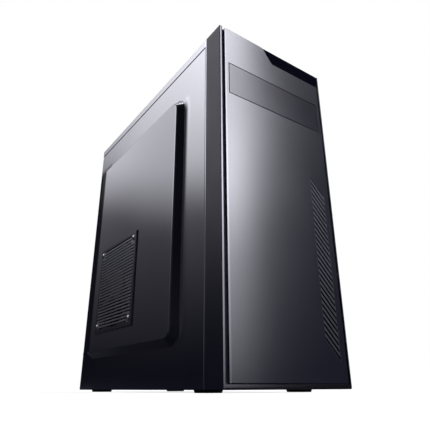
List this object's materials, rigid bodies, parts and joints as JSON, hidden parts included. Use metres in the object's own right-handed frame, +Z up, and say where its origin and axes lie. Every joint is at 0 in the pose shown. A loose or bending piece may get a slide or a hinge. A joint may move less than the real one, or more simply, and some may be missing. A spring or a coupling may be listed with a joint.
{
  "type": "desktop computer tower",
  "caption": "Upright desktop computer case with an overhanging glossy face plate, diagonal vent, drive bay, raised side panel and gridded side vent, with a fitted inside.",
  "frame": {"origin": "on the floor under the middle of the bounding box", "axes": "+Z up, -Y towards the front face with the drive bay and diagonal vent, +X towards the side panel without a vent"},
  "size_m": [0.1902, 0.3774, 0.4117],
  "materials": {
    "panel_paint": "satin black paint on the outer panels",
    "chassis_steel": "bare zinc-coated sheet, matt",
    "bezel_plastic": "satin black moulding",
    "gloss_plastic_black": "polished black",
    "insert_plastic": "fine-grained black",
    "fan_plastic": "moulded black",
    "foot_rubber": "matt black",
    "nickel": "bright nickel plate",
    "zinc_screw": "zinc-plated",
    "spacer_brass": "turned brass",
    "port_metal": "tinned sheet",
    "port_plastic": "black connector plastic",
    "light_lens": "clear light pipe",
    "supply_paint": "matt dark grey paint",
    "board_laminate": "green solder mask",
    "socket_plastic": "dark blue connector plastic",
    "bare_aluminium": "extruded, matt",
    "lid_nickel": "nickel-plated copper lid in a steel frame",
    "disk_cast": "cast and machined",
    "cable_jacket": "soft sleeving"
  },
  "bodies": {
    "chassis": {"base_pan": "chassis_steel", "feet": "foot_rubber", "front_frame": "chassis_steel", "top_cover": "panel_paint", "rear_panel": "chassis_steel", "slot_ledge": "chassis_steel", "slot_covers": "chassis_steel", "case_screws": "zinc_screw", "board_tray": "chassis_steel", "bay_cage": "chassis_steel", "drive_cage": "chassis_steel", "front_bezel": "bezel_plastic", "face_plate": "gloss_plastic_black", "vent_mesh": "bezel_plastic", "top_insert": "insert_plastic", "port_board": "board_laminate", "front_usb_ports": "port_metal", "front_audio_jacks": "port_plastic", "status_lights": "light_lens", "rear_fan_frame": "fan_plastic", "rear_fan_screws": "zinc_screw", "psu_case": "supply_paint", "psu_fan_frame": "fan_plastic", "psu_fan_guard": "nickel", "psu_inlet": "port_plastic", "motherboard": "board_laminate", "standoffs": "spacer_brass", "board_screws": "zinc_screw", "cpu_socket": "lid_nickel", "cpu_heatsink": "bare_aluminium", "cpu_fan_frame": "fan_plastic", "memory_slots": "socket_plastic", "memory_modules": "board_laminate", "expansion_slots": "socket_plastic", "chipset_heatsink": "bare_aluminium", "board_sockets": "socket_plastic", "rear_usb_ports": "port_metal", "rear_lan_port": "port_metal", "rear_video_ports": "port_metal", "rear_audio_jacks": "port_plastic", "io_shield": "port_metal", "hard_drive": "disk_cast", "board_power_cable": "cable_jacket", "drive_cable": "cable_jacket", "panel_cable": "cable_jacket"},
    "left_side": {"left_panel": "panel_paint", "left_thumbscrews": "nickel", "side_grille": "panel_paint", "grille_screws": "nickel", "side_fan_frame": "fan_plastic"},
    "right_side": {"right_panel": "panel_paint", "right_thumbscrews": "nickel"},
    "side_fan": {"side_fan_rotor": "fan_plastic"},
    "rear_fan": {"rear_fan_rotor": "fan_plastic"},
    "supply_fan": {"psu_fan_rotor": "fan_plastic"},
    "processor_fan": {"cpu_fan_rotor": "fan_plastic"},
    "bay_door": {"bay_cover": "gloss_plastic_black"},
    "power_key": {"power_button": "gloss_plastic_black"},
    "reset_key": {"reset_button": "gloss_plastic_black"},
    "supply_switch": {"psu_switch": "port_plastic"}
  },
  "joints": [
    {"name": "left_panel_slide", "type": "slide", "parent": "chassis", "child": "left_side", "axis": [0, 1, 0], "range_m": [0, 0.02]},
    {"name": "right_panel_slide", "type": "slide", "parent": "chassis", "child": "right_side", "axis": [0, 1, 0], "range_m": [0, 0.02]},
    {"name": "side_fan_spin", "type": "hinge", "parent": "left_side", "child": "side_fan", "pos_m": [-0.0781, 0.04925, 0.138], "axis": [1, 0, 0], "continuous": true},
    {"name": "rear_fan_spin", "type": "hinge", "parent": "chassis", "child": "rear_fan", "pos_m": [-0.0321, 0.16555, 0.2647], "axis": [0, 1, 0], "continuous": true},
    {"name": "supply_fan_spin", "type": "hinge", "parent": "chassis", "child": "supply_fan", "pos_m": [0.0019, 0.10755, 0.3351], "axis": [0, 0, 1], "continuous": true},
    {"name": "processor_fan_spin", "type": "hinge", "parent": "chassis", "child": "processor_fan", "pos_m": [0.0119, 0.08125, 0.2527], "axis": [1, 0, 0], "continuous": true},
    {"name": "bay_cover_pull", "type": "slide", "parent": "chassis", "child": "bay_door", "axis": [0, -1, 0], "range_m": [0, 0.012]},
    {"name": "power_button_press", "type": "slide", "parent": "chassis", "child": "power_key", "axis": [0, 0, -1], "range_m": [0, 0.0018], "stiffness_N_per_m": 500},
    {"name": "reset_button_press", "type": "slide", "parent": "chassis", "child": "reset_key", "axis": [0, 0, -1], "range_m": [0, 0.0012], "stiffness_N_per_m": 500},
    {"name": "supply_switch_rock", "type": "hinge", "parent": "chassis", "child": "supply_switch", "pos_m": [-0.0181, 0.17355, 0.3661], "axis": [1, 0, 0], "range_deg": [-14, 0]}
  ]
}
